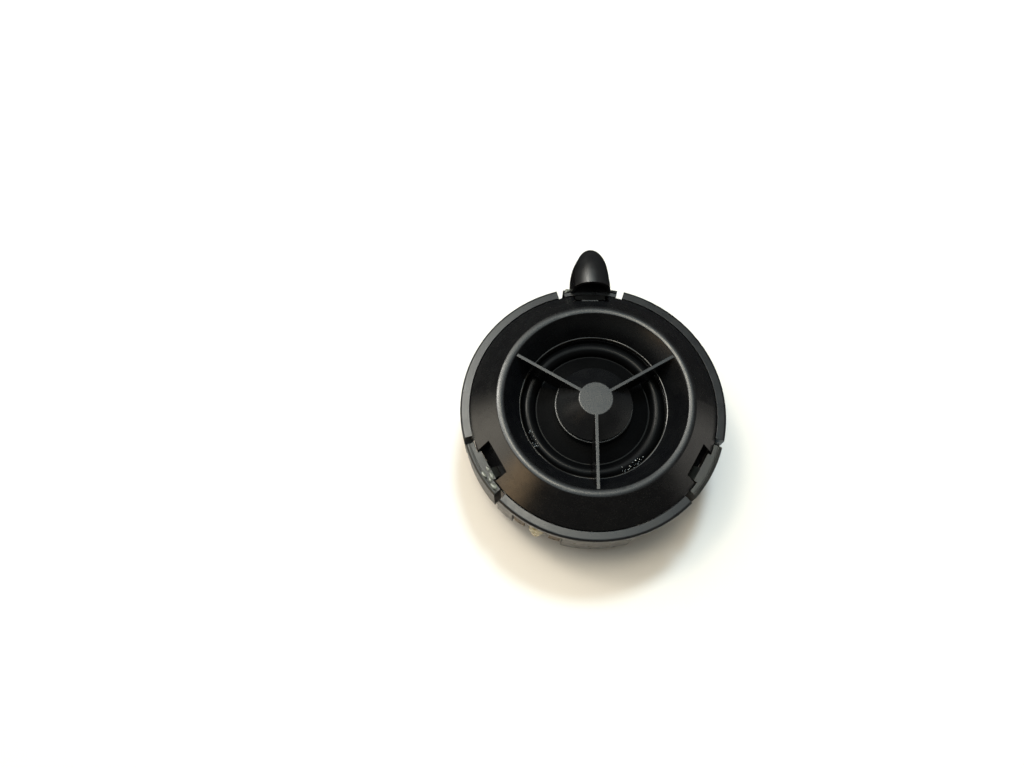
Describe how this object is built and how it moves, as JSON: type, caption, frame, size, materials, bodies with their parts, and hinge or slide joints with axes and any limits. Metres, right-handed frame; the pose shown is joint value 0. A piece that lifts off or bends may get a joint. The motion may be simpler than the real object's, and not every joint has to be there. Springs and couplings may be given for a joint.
{
  "type": "dome tweeter",
  "caption": "Small round car-audio dome tweeter: finned phase-plug cover over a sprung dome, snapped into a skirted housing with three latch fingers and a locating hood.",
  "frame": {"origin": "centre of the rear cap's flat rear face", "axes": "+Z out of the front along the dome's axis of travel; +Y towards the locating hood; +X to the right seen from the front"},
  "size_m": [0.046, 0.0527, 0.0201],
  "materials": {
    "satin_abs": "satin moulded black ABS",
    "foam_rubber": "fine-celled foam rubber",
    "coated_cloth": "black cloth with a glossy damping coat",
    "polyimide_film": "amber polyimide film",
    "copper_wire": "enamelled copper",
    "plated_steel": "zinc-plated steel",
    "nickel_magnet": "nickel-plated magnet",
    "wool_felt": "pressed grey felt",
    "tarnished_brass": "tarnished brass",
    "hot_melt_glue": "cloudy amber hot-melt glue",
    "capacitor_sleeve": "shrunk vinyl sleeve",
    "tinned_solder": "dull tin solder"
  },
  "bodies": {
    "housing": {"housing": "satin_abs", "front_cover": "satin_abs", "rear_cap": "satin_abs", "diaphragm_frame": "satin_abs", "clamp_ring": "satin_abs", "throat_gasket": "foam_rubber", "surround": "coated_cloth", "yoke": "plated_steel", "magnet": "nickel_magnet", "top_plate": "plated_steel", "dome_felt": "wool_felt", "rear_foam_pad": "foam_rubber", "terminal_block": "satin_abs", "terminal_left": "tarnished_brass", "terminal_right": "tarnished_brass", "glue_bead": "hot_melt_glue", "lead_wire_left": "copper_wire", "lead_wire_right": "copper_wire", "capacitor": "capacitor_sleeve", "capacitor_leads": "tinned_solder", "solder_joints": "tinned_solder"},
    "diaphragm": {"dome": "coated_cloth", "coil_former": "polyimide_film", "voice_coil": "copper_wire"},
    "latch_right": {"latch_finger_right": "satin_abs"},
    "latch_top": {"latch_finger_top": "satin_abs"},
    "latch_left": {"latch_finger_left": "satin_abs"}
  },
  "joints": [
    {"name": "diaphragm_slide", "type": "slide", "parent": "housing", "child": "diaphragm", "axis": [0, 0, 1], "range_m": [-0.00035, 0.00035], "stiffness_N_per_m": 12000, "deforming": ["surround", "lead_wire_left", "lead_wire_right"]},
    {"name": "latch_right_flex", "type": "hinge", "parent": "housing", "child": "latch_right", "pos_m": [0.01923, -0.0111, 0.0058], "axis": [0.5, 0.866, 0], "range_deg": [0, 6], "stiffness_Nm_per_rad": 2},
    {"name": "latch_top_flex", "type": "hinge", "parent": "housing", "child": "latch_top", "pos_m": [0, 0.0222, 0.0058], "axis": [-1, 0, 0], "range_deg": [0, 6], "stiffness_Nm_per_rad": 2},
    {"name": "latch_left_flex", "type": "hinge", "parent": "housing", "child": "latch_left", "pos_m": [-0.01923, -0.0111, 0.0058], "axis": [0.5, -0.866, 0], "range_deg": [0, 6], "stiffness_Nm_per_rad": 2}
  ]
}
